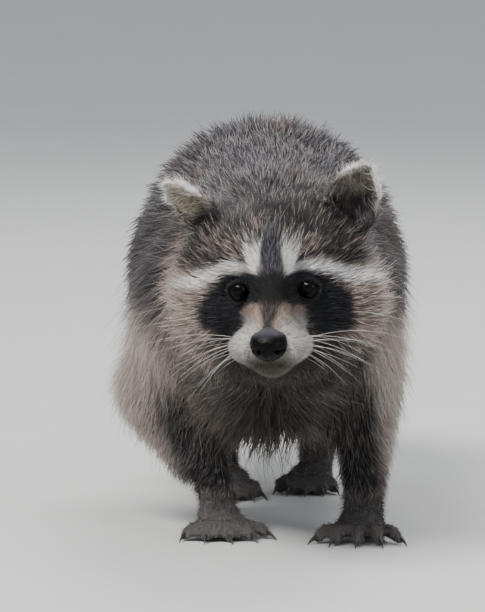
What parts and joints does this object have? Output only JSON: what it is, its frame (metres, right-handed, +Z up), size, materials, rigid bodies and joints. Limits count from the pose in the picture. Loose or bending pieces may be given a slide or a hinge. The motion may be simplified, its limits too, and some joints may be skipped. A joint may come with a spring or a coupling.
{
  "type": "raccoon",
  "caption": "Life-size still model of a raccoon standing on all four feet with its head low, back arched and tail trailing.",
  "frame": {"origin": "on the floor under the middle of the whole animal", "axes": "+Z up, the animal faces -Y, its left side is +X"},
  "size_m": [0.2026, 0.7622, 0.2616],
  "materials": {
    "coat": "grizzled grey-brown fur, pale guard hairs with dark tips",
    "paw": "dark skin and short dark fur, horn claws",
    "eye": "wet black-brown eye",
    "nose": "moist black pebbled nose pad"
  },
  "bodies": {
    "root": {"head": "coat", "nose": "nose", "eye_left": "eye", "eye_right": "eye", "ear_left": "coat", "ear_right": "coat", "neck": "coat", "trunk": "coat", "tail": "coat", "foreleg_left": "coat", "foreleg_right": "coat", "hindleg_left": "coat", "hindleg_right": "coat", "forepaw_left": "paw", "forepaw_right": "paw", "hindpaw_left": "paw", "hindpaw_right": "paw"}
  },
  "joints": []
}
